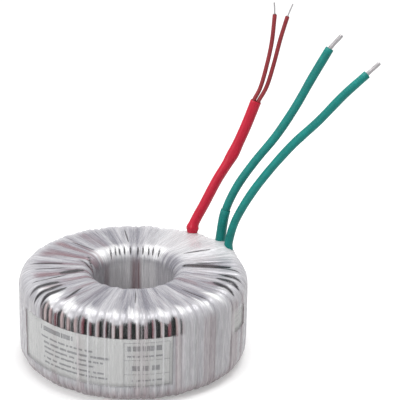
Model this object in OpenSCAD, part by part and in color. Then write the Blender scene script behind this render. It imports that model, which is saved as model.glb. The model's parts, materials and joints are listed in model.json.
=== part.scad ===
// Toroidal mains transformer: a wound steel ring, two copper windings and a clear film wrap,
// with a sleeved pair of primary leads and two sleeved secondary leads standing up at the back.
// Origin: centre of the ring at its base. +Z is up, -Y faces the viewer, the leads leave at +X +Y.

/* [Overall] */
// Diameter over the film wrap
overall_d = 110; // [95:1:140]
// Height over the film wrap, without the bulge at the leads
overall_h = 45; // [40:1:70]
// Diameter of the central hole
bore_d = 38; // [26:1:46]
// Radius of the ring's outer edges
outer_corner_r = 7.5; // [5:0.5:9]
// Radius of the ring's edges at the hole
inner_corner_r = 7; // [5:0.5:8]
// Gap between one layer and the next
layer_gap = 0.1; // [0.05:0.05:0.3]

/* [Film wrap] */
// Build of the film on the outside wall and the two faces
film_t = 1.2; // [1:0.1:2]
// Build of the film in the hole, where its turns overlap most
film_bore_t = 2; // [1.6:0.1:3]
// Depth of the deepest pleat, at the outside wall
pleat_depth = 0.7; // [0.2:0.1:0.8]
// Depth of a pleat at the hole as a share of the outside one
pleat_bore_share = 0.35; // [0.1:0.05:0.5]
// Height of the bulge where the secondary leads leave the film
bulge_h = 2.6; // [0:0.2:4]
// Height of the smaller bulge where the primary leads leave the film
small_bulge_h = 1; // [0:0.2:2]

/* [Windings] */
// Turns of the secondary winding
secondary_turns = 30; // [20:1:40]
// Wires laid side by side in one turn
wires_per_turn = 3; // [1:1:4]
// Diameter of one secondary wire
secondary_wire_d = 1.8; // [1.2:0.1:2]
// Build of the insulation tape between the windings
tape_t = 0.4; // [0.2:0.1:0.8]
// Build of the primary winding on the outside wall
primary_t = 1.3; // [0.8:0.1:2]
// Build of the primary winding in the hole
primary_bore_t = 2.2; // [1.2:0.1:3]
// Build of the tape round the core
core_tape_t = 0.4; // [0.2:0.1:0.8]

/* [Core] */
// Thickness of the pressboard ring on each end of the core
end_ring_t = 1.6; // [1:0.1:3]
// Chamfer on the edges of the steel strip ring
core_chamfer = 0.4; // [0.2:0.1:1]

/* [Labels] */
// Thickness of the label paper
paper_t = 0.2; // [0.1:0.05:0.4]
// Length of the rating label round the wall
rating_w = 82; // [40:1:120]
// Height of the rating label
rating_h = 25; // [15:1:26]
// Height of the rating label's lower edge
rating_z = 8.5; // [7.5:0.5:10]
// Angle of the rating label's middle from +X
rating_angle = -114.5; // [-130:0.5:-90]
// Length of the test label round the wall
test_w = 16; // [8:1:24]
// Height of the test label
test_h = 12.5; // [6:0.5:14]
// Height of the test label's lower edge
test_z = 21.5; // [10:0.5:22]
// Angle of the test label's middle from +X
test_angle = -23.5; // [-35:0.5:0]

/* [Primary leads] */
// Outside diameter of the red sleeve over both leads
primary_sleeve_d = 5.2; // [5:0.1:6]
// Wall of the red sleeve
primary_sleeve_wall = 0.3; // [0.2:0.05:0.35]
// Diameter over the insulation of one primary lead
primary_lead_d = 2.1; // [1.6:0.1:2.1]
// Diameter of the primary conductor
primary_wire_d = 0.7; // [0.5:0.05:1]
// Depth of the modelled conductor inside its insulation
primary_socket = 5; // [2:0.5:8]
// Angle of the red sleeve's root from +X
primary_angle = 53.5; // [48:0.5:60]
// Distance of the red sleeve's root in from the outside wall
primary_inset = 5.8; // [5:0.2:8]

/* [Secondary leads] */
// Outside diameter of a green sleeve
secondary_sleeve_d = 4.2; // [3.8:0.1:4.4]
// Wall of a green sleeve
secondary_sleeve_wall = 0.7; // [0.4:0.1:0.7]
// Diameter of a secondary conductor
secondary_lead_d = 2; // [1.6:0.1:2.2]
// Wall of the short outer sleeve on the first green sleeve
outer_sleeve_wall = 0.3; // [0.3:0.05:0.5]
// Gap between a sleeve and what lies inside it
sleeve_gap = 0.1; // [0.08:0.01:0.1]
// Angle of the first green sleeve's root from +X
secondary_angle_1 = 32; // [30:0.2:38]
// Angle of the second green sleeve's root from +X
secondary_angle_2 = 24.6; // [18:0.2:25]
// Distance of the first green sleeve's root in from the outside wall
secondary_inset_1 = 4.8; // [4:0.2:6]
// Distance of the second green sleeve's root in from the outside wall
secondary_inset_2 = 3.6; // [3.4:0.2:6]
// Gap round a sleeve where it leaves the film
exit_gap = 0.2; // [0.1:0.05:0.3]
// Gap between a sleeve's lower end and the winding under it
seat_gap = 0.2; // [0.1:0.05:0.3]

/* [Hidden] */

smooth = 180; // facets of a full turn where a round surface is drawn as a mesh
slack = 1; // how far a cutting shape runs past the surface it cuts
trim = 0.4; // film that is pared off the base and the hole to leave them true
least_corner_r = 0.6;
outer_r = overall_d / 2;
bore_r = bore_d / 2;

// A layer is [outside radius, hole radius, low z, high z, outer corner r, inner corner r].
// The next layer in lies under a build of t outside, t_bore in the hole and t_end on the faces.
function layer_under(l, t, t_bore, t_end) = [
    l[0] - t, l[1] + t_bore, l[2] + t_end, l[3] - t_end,
    max(least_corner_r, l[4] - min(t, t_end)), max(least_corner_r, l[5] - min(t_bore, t_end))
];
function gap_under(l) = layer_under(l, layer_gap, layer_gap, layer_gap);

film_out = [outer_r, bore_r, 0, overall_h, outer_corner_r, inner_corner_r];
film_in = layer_under(film_out, film_t, film_bore_t, film_t);
// The labels lie between the film and the winding, so the winding's wall sits under them too
label_r = film_in[0] - layer_gap;
secondary_out = layer_under(film_in, 2 * layer_gap + paper_t, layer_gap, layer_gap);
// In the hole the wires lie in two layers, because a single one would be longer than the wall
secondary_in = layer_under(secondary_out, secondary_wire_d, 2 * secondary_wire_d, secondary_wire_d);
tape_out = gap_under(secondary_in);
tape_in = layer_under(tape_out, tape_t, tape_t, tape_t);
primary_out = gap_under(tape_in);
primary_in = layer_under(primary_out, primary_t, primary_bore_t, primary_t);
core_tape_out = gap_under(primary_in);
core_tape_in = layer_under(core_tape_out, core_tape_t, core_tape_t, core_tape_t);
core_out = gap_under(core_tape_in);

// Section of a layer, to be turned about the Z axis
module layer_section(l) {
    square_r = [l[1] + l[5], l[0] - l[4]];
    translate([square_r[0], l[2]]) square([square_r[1] - square_r[0], l[3] - l[2]]);
    translate([l[0] - l[4] - slack, l[2] + l[4]]) square([l[4] + slack, l[3] - l[2] - 2 * l[4]]);
    translate([l[1], l[2] + l[5]]) square([l[5] + slack, l[3] - l[2] - 2 * l[5]]);
    for (z = [l[2] + l[4], l[3] - l[4]]) translate([l[0] - l[4], z]) circle(r = l[4], $fn = 48);
    for (z = [l[2] + l[5], l[3] - l[5]]) translate([l[1] + l[5], z]) circle(r = l[5], $fn = 48);
}

// A closed ring shell between two layers
module ring_shell(out, in) {
    rotate_extrude($fn = smooth) difference() {
        layer_section(out);
        layer_section(in);
    }
}

// ---- Core ----

module core() {
    z = [core_out[2] + end_ring_t + layer_gap, core_out[3] - end_ring_t - layer_gap];
    c = core_chamfer;
    color("dimgray") rotate_extrude($fn = smooth) polygon([
        [core_out[1] + c, z[0]], [core_out[0] - c, z[0]], [core_out[0], z[0] + c],
        [core_out[0], z[1] - c], [core_out[0] - c, z[1]], [core_out[1] + c, z[1]],
        [core_out[1], z[1] - c], [core_out[1], z[0] + c]
    ]);
}

// A flat ring with its free edges rounded to the layer's corners
module core_ring(z) {
    color("burlywood") rotate_extrude($fn = smooth) intersection() {
        layer_section(core_out);
        translate([core_out[1] - slack, z]) square([core_out[0] - core_out[1] + 2 * slack, end_ring_t]);
    }
}

module core_ring_top() { core_ring(core_out[3] - end_ring_t); }
module core_ring_bottom() { core_ring(core_out[2]); }
module core_tape() { color("khaki") ring_shell(core_tape_out, core_tape_in); }

// ---- Windings ----

module primary_winding() { color("peru") ring_shell(primary_out, primary_in); }
module winding_tape() { color("lightyellow") ring_shell(tape_out, tape_in); }

wire_count = secondary_turns * wires_per_turn;
wire_step = 360 / wire_count;
wire_r = secondary_wire_d / 2;

// The winding is a shell as deep as the wires' centres, with each wire's outer half along the wall
module secondary_winding() {
    bed = layer_under(secondary_out, wire_r, 0, 0);
    wall_z = [secondary_out[2] + secondary_out[4], secondary_out[3] - secondary_out[4]];
    color("rosybrown") {
        ring_shell(bed, secondary_in);
        translate([0, 0, wall_z[0]]) linear_extrude(height = wall_z[1] - wall_z[0]) difference() {
            for (i = [0:wire_count - 1])
                rotate(i * wire_step) translate([bed[0], 0]) circle(r = wire_r, $fn = 24);
            circle(r = bed[0] - wire_r / 2, $fn = smooth);
        }
    }
}

// ---- Film wrap ----

// Each wire carries one pleat: a crest over it and a valley beside it. The valley between two
// turns is the full depth and the ones inside a turn are shallower.
pleat_seed = 7;
pleat_vary = rands(0.6, 1, wire_count, pleat_seed);
crest_vary = rands(0, 0.25, wire_count, pleat_seed + 1);
inner_valley = 0.5; // depth of a valley inside a turn, as a share of one between turns
valley_lean = 0.62; // where the valley lies between one crest and the next
function valley_depth(i) = pleat_vary[i] * (i % wires_per_turn == 0 ? 1 : inner_valley);
// Columns of the film's net: [angle, depth under the smooth shape as a share of pleat_depth]
columns = [for (i = [0:wire_count - 1])
    each [[i * wire_step, crest_vary[i]], [(i + valley_lean) * wire_step, valley_depth(i)]]];

function arc_points(r, z, c, a0, a1, n, share0, share1, lift) = [for (i = [0:n])
    let (a = a0 + (a1 - a0) * i / n)
    [r + c * cos(a), z + c * sin(a), cos(a), sin(a), share0 + (share1 - share0) * i / n, lift[i]]];
// Section of the film: [r, z, outward r, outward z, share of the pleat depth, share of the bulge].
// It runs past the base and into the hole by trim, and those two are then cut true.
film_section = concat(
    arc_points(outer_r - outer_corner_r, outer_corner_r - trim, outer_corner_r, -90, 0, 3,
        0.9, 1, [0, 0, 0, 0]),
    arc_points(outer_r - outer_corner_r, overall_h - outer_corner_r, outer_corner_r, 0, 90, 4,
        1, 0.9, [0.1, 0.4, 0.8, 1, 0.8]),
    arc_points(bore_r + inner_corner_r - trim, overall_h - inner_corner_r, inner_corner_r, 90, 180, 4,
        0.5, pleat_bore_share, [0.2, 0, 0, 0, 0]),
    arc_points(bore_r + inner_corner_r - trim, inner_corner_r - trim, inner_corner_r, 180, 270, 3,
        pleat_bore_share, 0.5, [0, 0, 0, 0]));

// A bulge rises fast on its right side and tails off on its left
function bump(a, mid, right, left) = exp(-pow((a - mid) / (a < mid ? right : left), 2));
bulge_angle = (secondary_angle_1 + secondary_angle_2) / 2;
function bulge(a) = bulge_h * bump(a, bulge_angle, 7, 12) + small_bulge_h * bump(a, primary_angle, 7, 7);
// The pleats lie flatter where the film is drawn over the leads
function calm(a) = 1 - 0.7 * bump(a, bulge_angle, 10, 16);

function film_point(col, s) =
    let (push = s[5] * bulge(col[0]) - s[4] * pleat_depth * col[1] * calm(col[0]),
        r = s[0] + s[2] * push)
    [r * cos(col[0]), r * sin(col[0]), s[1] + s[3] * push];

// A net of rings of points, split into triangles. A closed net joins its last ring to its first.
// In an open net, steps counts the gaps between its rings.
function net_faces(steps, n, closed) =
    [for (j = [0:steps - 1], k = [0:n - 1])
        let (next = closed ? (j + 1) % steps : j + 1,
            a = j * n + k, b = j * n + (k + 1) % n, c = next * n + (k + 1) % n, d = next * n + k)
        each [[a, b, c], [a, c, d]]];

module film_wrap() {
    color("gainsboro", 0.6) difference() {
        polyhedron(points = [for (col = columns, s = film_section) film_point(col, s)],
            faces = net_faces(len(columns), len(film_section), true));
        translate([0, 0, -slack]) cylinder(h = overall_h + 2 * slack, r = bore_r, $fn = smooth);
        translate([-overall_d, -overall_d, -overall_h]) cube([2 * overall_d, 2 * overall_d, overall_h]);
        rotate_extrude($fn = smooth) layer_section(film_in);
        exit_hole(primary_root, primary_route, primary_sleeve_d);
        exit_hole(secondary_root_1, secondary_route_1, outer_sleeve_d);
        exit_hole(secondary_root_2, secondary_route_2, secondary_sleeve_d);
    }
}

// ---- Labels ----

// A strip of paper bent round the winding's wall
module wall_label(angle, w, z, h) {
    span = w / label_r * 180 / PI;
    translate([0, 0, z]) rotate(angle - span / 2) rotate_extrude(angle = span, $fn = smooth)
        translate([label_r - paper_t, 0]) square([paper_t, h]);
}

module rating_label() { color("whitesmoke") wall_label(rating_angle, rating_w, rating_z, rating_h); }
module test_label() { color("white") wall_label(test_angle, test_w, test_z, test_h); }

// ---- Leads ----

// Height of the winding's top at a radius, on the flat or on the rounded outer corner
function winding_top(r) =
    let (c = secondary_out[4], over = max(0, r - (secondary_out[0] - c)))
    secondary_out[3] - c + sqrt(max(0, c * c - over * over));
// A lead's root stands on the winding by the inboard edge of its sleeve
function root_at(angle, inset, d) =
    let (r = outer_r - inset) [r * cos(angle), r * sin(angle), winding_top(r - d / 2) + seat_gap];

outer_sleeve_d = secondary_sleeve_d + 2 * (sleeve_gap + outer_sleeve_wall);
primary_root = root_at(primary_angle, primary_inset, primary_sleeve_d);
secondary_root_1 = root_at(secondary_angle_1, secondary_inset_1, outer_sleeve_d);
secondary_root_2 = root_at(secondary_angle_2, secondary_inset_2, secondary_sleeve_d);

// Routes: places along each lead, measured from its root
primary_route = [[0, 0, 0], [1, 0.5, 6], [6, 1.5, 16], [12, 3, 28], [19, 4.5, 40], [24.5, 6, 52],
    [28, 7, 61], [30.5, 7.5, 68]];
primary_free_1 = [[33.5, 8.5, 74], [36, 9, 83.5], [38.5, 9.5, 97], [39.5, 9.5, 111]];
primary_free_2 = [[34.5, 8.5, 75.5], [37.5, 9.5, 86], [40.5, 10.5, 99], [43.5, 11, 110]];
primary_tip_1 = [39, 9.5, 117];
primary_tip_2 = [46, 12, 116];
secondary_route_1 = [[0, 0, 0], [0.5, 0, 6], [2.5, 0.5, 18.5], [8, 2.5, 30.5], [16.5, 5, 42.5],
    [26.5, 8, 54.5], [35.5, 11, 68], [43.5, 13.5, 82.5], [51.5, 15.5, 96.5]];
secondary_route_2 = [[0, 0, 0], [0, 0, 5], [3, 1, 15.5], [10, 3, 28], [19.5, 6.5, 40],
    [30.5, 10.5, 51.5], [43, 15, 62], [55, 19.5, 73.5], [66.5, 23.5, 83]];
secondary_tip_1 = [57, 17, 102.5];
secondary_tip_2 = [72.5, 25.5, 88];
outer_sleeve_points = 3; // places on the first route that the short outer sleeve covers

function unit(v) = v / norm(v);
// Direction of a route at one of its places: the mean of the two stretches that meet there
function heading(p, i) = unit(
    (i > 0 ? unit(p[i] - p[i - 1]) : [0, 0, 0]) + (i < len(p) - 1 ? unit(p[i + 1] - p[i]) : [0, 0, 0]));
// A ring of points round the route. It is turned from one fixed direction, so a lead can't twist,
// and shift moves it sideways, so that two leads can run side by side.
side_ref = [0, -1, 0];
function ring(p, i, r, n, shift) =
    let (h = heading(p, i), u = unit(cross(side_ref, h)), v = cross(u, h))
    [for (k = [0:n - 1]) let (a = 360 * k / n) p[i] + shift * u + r * (cos(a) * u + sin(a) * v)];

// A solid lead: rings joined end to end, with a flat cap on the first and the last
module solid_lead(p, r, n, shift = 0) {
    last = len(p) - 1;
    polyhedron(
        points = [for (i = [0:last]) each ring(p, i, r, n, shift)],
        faces = concat(net_faces(last, n, false), [[for (k = [n - 1:-1:0]) k], [for (k = [0:n - 1]) last * n + k]]));
}

// A hollow lead: its net of rings runs out along the outside and back along the bore
module hollow_lead(p, r_out, r_in, n) {
    last = len(p) - 1;
    polyhedron(
        points = concat(
            [for (i = [0:last]) each ring(p, i, r_out, n, 0)],
            [for (i = [last:-1:0]) each ring(p, i, r_in, n, 0)]),
        faces = net_faces(2 * len(p), n, true));
}

// The round way out through the film, along the first stretch of a route
module exit_hole(root, route, d) {
    way = unit(route[1] - route[0]);
    translate(root) rotate([0, acos(way[2]), atan2(way[1], way[0])])
        translate([0, 0, -slack]) cylinder(h = 2 * d, r = d / 2 + exit_gap, $fn = 48);
}

thin_sides = 8; // sides of a lead under 4 mm across
thick_sides = 12; // sides of a thicker one
lead_shift = primary_lead_d / 2 + sleeve_gap;

module primary_sleeve() {
    color("crimson") translate(primary_root) hollow_lead(
        primary_route, primary_sleeve_d / 2, primary_sleeve_d / 2 - primary_sleeve_wall, thick_sides);
}

// The stripped end of a primary conductor, from inside its insulation to its tip
module stripped_end(free, tip, r, shift) {
    last = free[len(free) - 1];
    way = unit(last - free[len(free) - 2]);
    solid_lead([last - primary_socket * way, last, tip], r, thin_sides, shift);
}

// An insulated lead runs up the red sleeve and on to its stripped end
module insulated_lead(free, tip, shift) {
    color("brown") translate(primary_root) difference() {
        solid_lead(concat(primary_route, free), primary_lead_d / 2, thin_sides, shift);
        stripped_end(free, tip, primary_wire_d / 2 + sleeve_gap, shift);
    }
}

module primary_lead_1() { insulated_lead(primary_free_1, primary_tip_1, lead_shift); }
module primary_lead_2() { insulated_lead(primary_free_2, primary_tip_2, -lead_shift); }

module primary_wire(free, tip, shift) {
    color("silver") translate(primary_root) stripped_end(free, tip, primary_wire_d / 2, shift);
}

module primary_wire_1() { primary_wire(primary_free_1, primary_tip_1, lead_shift); }
module primary_wire_2() { primary_wire(primary_free_2, primary_tip_2, -lead_shift); }

module secondary_sleeve(root, route) {
    color("teal") translate(root) hollow_lead(
        route, secondary_sleeve_d / 2, secondary_sleeve_d / 2 - secondary_sleeve_wall, thick_sides);
}

module secondary_sleeve_1() { secondary_sleeve(secondary_root_1, secondary_route_1); }
module secondary_sleeve_2() { secondary_sleeve(secondary_root_2, secondary_route_2); }

module secondary_outer_sleeve() {
    cover = [for (i = [0:outer_sleeve_points - 1]) secondary_route_1[i]];
    color("darkcyan") translate(secondary_root_1) hollow_lead(
        cover, outer_sleeve_d / 2, secondary_sleeve_d / 2 + sleeve_gap, thick_sides);
}

module secondary_wire(root, route, tip) {
    color("silver") translate(root)
        solid_lead(concat(route, [tip]), secondary_lead_d / 2, thin_sides);
}

module secondary_wire_1() { secondary_wire(secondary_root_1, secondary_route_1, secondary_tip_1); }
module secondary_wire_2() { secondary_wire(secondary_root_2, secondary_route_2, secondary_tip_2); }

core();
core_ring_top();
core_ring_bottom();
core_tape();
primary_winding();
winding_tape();
secondary_winding();
film_wrap();
rating_label();
test_label();
primary_sleeve();
primary_lead_1();
primary_lead_2();
primary_wire_1();
primary_wire_2();
secondary_sleeve_1();
secondary_sleeve_2();
secondary_outer_sleeve();
secondary_wire_1();
secondary_wire_2();
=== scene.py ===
# %% [markdown]
# # A toroidal transformer, from bare frame to finished piece
# The frame holds every solid at its real size: a steel ring, two copper windings, a clear film wrap,
# two paper labels and four leads. This lesson dresses it. Each visible piece is a surface worked out
# from two parameters with numpy, and each finish is built from shader nodes.

# %% Load the frame
import json
import math
import bpy
import numpy as np
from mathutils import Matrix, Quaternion, Vector


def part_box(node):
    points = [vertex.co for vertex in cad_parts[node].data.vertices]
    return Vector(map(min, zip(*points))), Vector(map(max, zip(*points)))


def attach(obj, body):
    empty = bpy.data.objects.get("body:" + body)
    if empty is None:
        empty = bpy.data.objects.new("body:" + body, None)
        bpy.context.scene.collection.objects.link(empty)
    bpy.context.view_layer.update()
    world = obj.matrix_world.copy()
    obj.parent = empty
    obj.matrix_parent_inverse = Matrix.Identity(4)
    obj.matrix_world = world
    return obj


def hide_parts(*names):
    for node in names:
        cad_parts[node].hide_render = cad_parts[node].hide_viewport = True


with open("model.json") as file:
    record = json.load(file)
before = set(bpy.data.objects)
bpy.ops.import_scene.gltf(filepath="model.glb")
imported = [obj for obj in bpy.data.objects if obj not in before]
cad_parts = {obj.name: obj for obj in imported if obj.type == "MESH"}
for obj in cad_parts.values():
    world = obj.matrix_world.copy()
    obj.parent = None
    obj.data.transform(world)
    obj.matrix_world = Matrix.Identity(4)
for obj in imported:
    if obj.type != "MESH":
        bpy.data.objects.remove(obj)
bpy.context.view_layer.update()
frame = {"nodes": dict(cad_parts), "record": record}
nodes = frame["nodes"]
print("nodes in the frame:", len(nodes))

# %% [markdown]
# ## Driving sizes
# The ring's sizes come from the frame itself, so a change there carries through. The few builds that
# the boxes don't tell are named here. Lengths are in metres, and MM turns a length in millimetres
# into metres.

# %% Sizes
MM = 0.001
film_low, film_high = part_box("film_wrap")
coil_low, coil_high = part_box("secondary_winding")
mounts = {mount["name"]: mount for mount in frame["record"]["mounts"]}
OUTER_R = (film_high.x - film_low.x) / 2
BORE_R = mounts["centre_hole"]["dims"]["r_mm"] * MM
COIL_R = (coil_high.x - coil_low.x) / 2
COIL_LOW, COIL_TOP = coil_low.z, coil_high.z
RING_H = COIL_TOP + COIL_LOW
OUTER_CORNER, INNER_CORNER = 7.5 * MM, 7 * MM
WIRE_R, WIRES = 0.9 * MM, 90
WIRE_STEP = 2 * math.pi / WIRES
print(f"ring {2 * OUTER_R / MM:.1f} mm across, {RING_H / MM:.1f} high, hole {2 * BORE_R / MM:.1f}")

# %% [markdown]
# ## From arrays to meshes
# A surface here is a grid: rows run along one parameter and columns along the other. The grid may
# close on itself in either direction, as a ring does. One helper turns the grid's points into a
# mesh, writes its UV map and its painted attributes, and makes sure that its faces look outwards by
# the sign of the volume that they enclose.

# %% Mesh helpers
def grid_faces(rows, columns, close_rows, close_columns):
    """Quads between neighbouring grid points, numbered row by row."""
    i = np.arange(rows if close_rows else rows - 1)[:, None]
    j = np.arange(columns if close_columns else columns - 1)[None, :]
    down, right = (i + 1) % rows, (j + 1) % columns
    corners = (i * columns + j, down * columns + j, down * columns + right, i * columns + right)
    return np.stack(np.broadcast_arrays(*corners), axis=-1).reshape(-1, 4)


def enclosed(points, quads):
    """Six times the volume: for each quad's two triangles, a . (b x c), summed."""
    a, b, c, d = (points[quads[:, k]] for k in range(4))
    return float((a * np.cross(b, c)).sum() + (a * np.cross(c, d)).sum())


def new_piece(name, points, quads, uv, painted=(), caps=(), outward=None):
    """A mesh piece from grid points, quads and end caps, with one UV and paint per point."""
    flat = points.reshape(-1, 3)
    sign = enclosed(flat, quads) if outward is None else outward
    faces = quads.tolist() + [list(map(int, cap)) for cap in caps]
    mesh = bpy.data.meshes.new(name)
    mesh.from_pydata(flat.tolist(), [], faces if sign > 0 else [face[::-1] for face in faces])
    corner_points = np.empty(len(mesh.loops), dtype=np.int32)
    mesh.loops.foreach_get("vertex_index", corner_points)
    layer = mesh.uv_layers.new(name="place")
    layer.data.foreach_set("uv", uv.reshape(-1, 2)[corner_points].astype(np.float32).ravel())
    for paint_name, values in dict(painted).items():
        paint = mesh.attributes.new(paint_name, "FLOAT", "POINT")
        paint.data.foreach_set("value", values.astype(np.float32).ravel())
    mesh.polygons.foreach_set("use_smooth", np.ones(len(mesh.polygons), dtype=bool))
    mesh.update()
    piece = bpy.data.objects.new(name, mesh)
    bpy.context.collection.objects.link(piece)
    return piece


def soft_step(low, high, x):
    """Rises smoothly from 0 at low to 1 at high."""
    t = np.clip((x - low) / (high - low), 0, 1)
    return t * t * (3 - 2 * t)


def band(low, high, soft, x):
    """One between low and high and zero outside, with edges as wide as soft."""
    return soft_step(low - soft, low + soft, x) * (1 - soft_step(high - soft, high + soft, x))


# %% [markdown]
# ## The camera
# A long lens from some way off keeps the ring's ellipses true. The camera stands in front of the
# label, a little under thirty degrees up, and aims right of the ring so that the leads fit in. It
# leans by about a degree, so that the wall stands upright although it is left of the middle.

# %% Camera
eye = Vector((-0.5, -672.6, 358.7)) * MM
aim = Vector((32.2, 23.8, 69.1)) * MM
CAMERA_LEAN = math.radians(1.12)
ring_middle = Vector((0, 0, RING_H / 2))
camera_data = bpy.data.cameras.new("camera")
camera_data.lens = 139.9
camera = bpy.data.objects.new("camera", camera_data)
camera.location = eye
level = (aim - eye).to_track_quat("-Z", "Y")
camera.rotation_euler = (level @ Quaternion((0, 0, 1), CAMERA_LEAN)).to_euler()
bpy.context.collection.objects.link(camera)
bpy.context.scene.camera = camera
print(f"camera {(aim - eye).length:.3f} m from what it aims at")

# %% [markdown]
# ## The leads' routes
# The leads are stiff copper, so they keep the bends that hands gave them. A route is a short list of
# places in millimetres, measured from the lead's root on the winding, and a smooth curve runs
# through them. The curve between two places is a cubic whose slope at each place is the mean of the
# steps before and after it.

# %% Routes
PRIMARY_ANGLE, PRIMARY_INSET, PRIMARY_SLEEVE_D, PRIMARY_LEAD_D = 53.5, 5.8, 5.2, 2.1
SECONDARY_ANGLES, SECONDARY_INSETS, SECONDARY_SLEEVE_D = (32, 24.6), (4.8, 3.6), 4.2
OUTER_SLEEVE_D, SEAT_GAP, SLEEVE_GAP, COIL_CORNER = 5.0, 0.2, 0.1, 6.2
PRIMARY_WIRE_D, SECONDARY_WIRE_D, OUTER_SLEEVE_PLACES = 0.7, 2.0, 3

PRIMARY_ROUTE = [(0, 0, 0), (1, 0.5, 6), (6, 1.5, 16), (12, 3, 28), (19, 4.5, 40), (24.5, 6, 52),
                 (28, 7, 61), (30.5, 7.5, 68)]
PRIMARY_FREE = [[(33.5, 8.5, 74), (36, 9, 83.5), (38.5, 9.5, 97), (39.5, 9.5, 111)],
                [(34.5, 8.5, 75.5), (37.5, 9.5, 86), (40.5, 10.5, 99), (43.5, 11, 110)]]
PRIMARY_TIPS = [(39, 9.5, 117), (46, 12, 116)]
SECONDARY_ROUTES = [[(0, 0, 0), (0.5, 0, 6), (2.5, 0.5, 18.5), (8, 2.5, 30.5), (16.5, 5, 42.5),
                     (26.5, 8, 54.5), (35.5, 11, 68), (43.5, 13.5, 82.5), (51.5, 15.5, 96.5)],
                    [(0, 0, 0), (0, 0, 5), (3, 1, 15.5), (10, 3, 28), (19.5, 6.5, 40),
                     (30.5, 10.5, 51.5), (43, 15, 62), (55, 19.5, 73.5), (66.5, 23.5, 83)]]
SECONDARY_TIPS = [(57, 17, 102.5), (72.5, 25.5, 88)]


def root_at(angle, inset, sleeve_d):
    """A sleeve's foot: the height of the coil's rounded top under the sleeve's inboard edge."""
    r = OUTER_R / MM - inset
    over = max(0, r - sleeve_d / 2 - (COIL_R / MM - COIL_CORNER))
    top = COIL_TOP / MM - COIL_CORNER + math.sqrt(COIL_CORNER ** 2 - over ** 2)
    turn = math.radians(angle)
    return np.array([r * math.cos(turn), r * math.sin(turn), top + SEAT_GAP])


def unit(v):
    """Each vector divided by its own length."""
    return v / np.linalg.norm(v, axis=-1, keepdims=True)


def headings(places):
    """Direction at each place: the mean of the two steps that meet there."""
    steps = unit(np.diff(places, axis=0))
    return unit(np.concatenate([steps[:1], steps[:-1] + steps[1:], steps[-1:]]))


def side_of(heading):
    """The sideways direction across a lead: the viewer's line of sight crossed with its heading."""
    return unit(np.cross(np.broadcast_to([0.0, -1.0, 0.0], heading.shape), heading))


def smooth_route(places, per_step=6):
    """Cubic between places a and b with slopes p and q: the four Hermite weights of t."""
    slope = np.gradient(places, axis=0)
    t = np.linspace(0, 1, per_step, endpoint=False)[None, :, None]
    a, b, p, q = places[:-1, None], places[1:, None], slope[:-1, None], slope[1:, None]
    curve = ((2 * t**3 - 3 * t**2 + 1) * a + (t**3 - 2 * t**2 + t) * p
             + (3 * t**2 - 2 * t**3) * b + (t**3 - t**2) * q)
    return np.concatenate([curve.reshape(-1, 3), places[-1:]])


def length_of(path):
    """Sum of the distances between neighbouring points."""
    return float(np.linalg.norm(np.diff(path, axis=0), axis=1).sum())


primary_root = root_at(PRIMARY_ANGLE, PRIMARY_INSET, PRIMARY_SLEEVE_D)
secondary_roots = [root_at(SECONDARY_ANGLES[0], SECONDARY_INSETS[0], OUTER_SLEEVE_D),
                   root_at(SECONDARY_ANGLES[1], SECONDARY_INSETS[1], SECONDARY_SLEEVE_D)]
print("roots, mm:", [np.round(root, 1).tolist() for root in [primary_root, *secondary_roots]])

# %% [markdown]
# ## Tubes and rods
# A sleeve is a hose with a cut end, so its wall shows there: the surface runs up the outside, turns
# over the cut edge and runs back down the bore. A wire is a rod with eased ends. Their sections
# needn't be round, so a radius is a function of the distance along the lead and the angle round it.

# %% Tube helpers
def swept(path, radius, sides):
    """Rings about a path: path + radius(along, turn) * (cos(turn) * side + sin(turn) * across)."""
    heading = headings(path)
    side = side_of(heading)
    across = np.cross(side, heading)
    along = np.concatenate([[0], np.cumsum(np.linalg.norm(np.diff(path, axis=0), axis=1))])
    turn = np.linspace(0, 2 * np.pi, sides, endpoint=False)
    r = np.broadcast_to(radius(along[:, None] / MM, turn), (len(path), sides))[..., None] * MM
    rings = path[:, None] + r * (np.cos(turn)[:, None] * side[:, None]
                                 + np.sin(turn)[:, None] * across[:, None])
    uv = np.stack(np.broadcast_arrays(turn / (2 * np.pi), along[:, None] / MM), axis=-1)
    return rings, uv


def sleeve_piece(name, path, outer, bore, sides=36):
    """A tube with a bore: the foot's edge, outside rings, an eased cut edge, the bore's rings."""
    outside, uv = swept(path, outer, sides)
    inside = swept(path, bore, sides)[0]
    lip = (outside[-1] + inside[-1]) / 2 + 0.12 * MM * headings(path)[-1]
    foot = (outside[0] + inside[0]) / 2
    points = np.concatenate([foot[None], outside, lip[None], inside[::-1]])
    uv = np.concatenate([uv[:1], uv, uv[-1:], uv[::-1]])
    return new_piece(name, points, grid_faces(len(points), sides, True, True), uv)


def rod_piece(name, path, radius, sides=20, end_share=0.6):
    """A solid rod: its rings, and at each end a smaller ring a little way on, closed by a cap."""
    rings, uv = swept(path, radius, sides)
    ends = headings(path)[[0, -1]]
    reach = 0.4 * np.linalg.norm(rings[-1, 0] - path[-1])
    first = path[0] + end_share * (rings[0] - path[0]) - reach * ends[0]
    last = path[-1] + end_share * (rings[-1] - path[-1]) + reach * ends[1]
    points = np.concatenate([first[None], rings, last[None]])
    quads = grid_faces(len(points), sides, False, True)
    caps = np.arange(sides)[::-1], np.arange(sides) + (len(points) - 1) * sides
    return new_piece(name, points, quads, np.concatenate([uv[:1], uv, uv[-1:]]), caps=caps)


# %% [markdown]
# ## The red sleeve and its two thin leads
# The heat-shrunk sleeve holds two round leads side by side, so its section is an oval. It bulges
# and turns a little part of the way up, and is wider above that. Its foot flares at the film.

# %% Primary leads
primary_shared = (np.array(PRIMARY_ROUTE) + primary_root) * MM
primary_path = smooth_route(primary_shared, 9)
PRIMARY_SHIFT = (PRIMARY_LEAD_D / 2 + SLEEVE_GAP) * MM
BULGE = 46


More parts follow.
